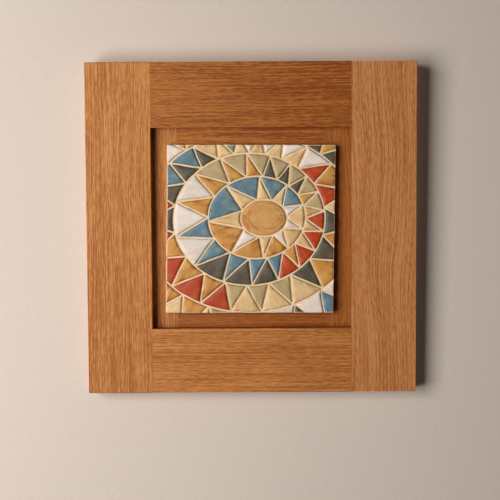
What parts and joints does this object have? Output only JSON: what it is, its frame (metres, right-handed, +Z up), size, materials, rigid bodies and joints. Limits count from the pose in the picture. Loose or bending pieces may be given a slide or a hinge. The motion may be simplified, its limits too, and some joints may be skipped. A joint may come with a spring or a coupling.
{
  "type": "framed mosaic relief tile",
  "caption": "Square wall panel: a glazed relief tile with a sun in rings of small mosaic fields, lying on the stepped ledge of a wide flat oak frame.",
  "frame": {"origin": "on the flat back of the top rail, at its middle, where the panel is fixed to a wall", "axes": "+Y out of the back, into the wall, so the picture faces -Y; +Z up; +X to the right as the picture is seen from the front"},
  "size_m": [0.3, 0.02, 0.301],
  "materials": {
    "left_stile_oak": "oiled oak, satin, grain upright",
    "right_stile_oak": "oiled oak, satin, grain upright",
    "top_rail_oak": "oiled oak, satin, grain level",
    "bottom_rail_oak": "oiled oak, satin, grain level",
    "mosaic_glaze": "satin glaze in many colours on raised fields, bare cream clay in the grooves"
  },
  "bodies": {
    "root": {"left_stile": "left_stile_oak", "right_stile": "right_stile_oak", "top_rail": "top_rail_oak", "bottom_rail": "bottom_rail_oak", "mosaic_tile": "mosaic_glaze"}
  },
  "joints": []
}
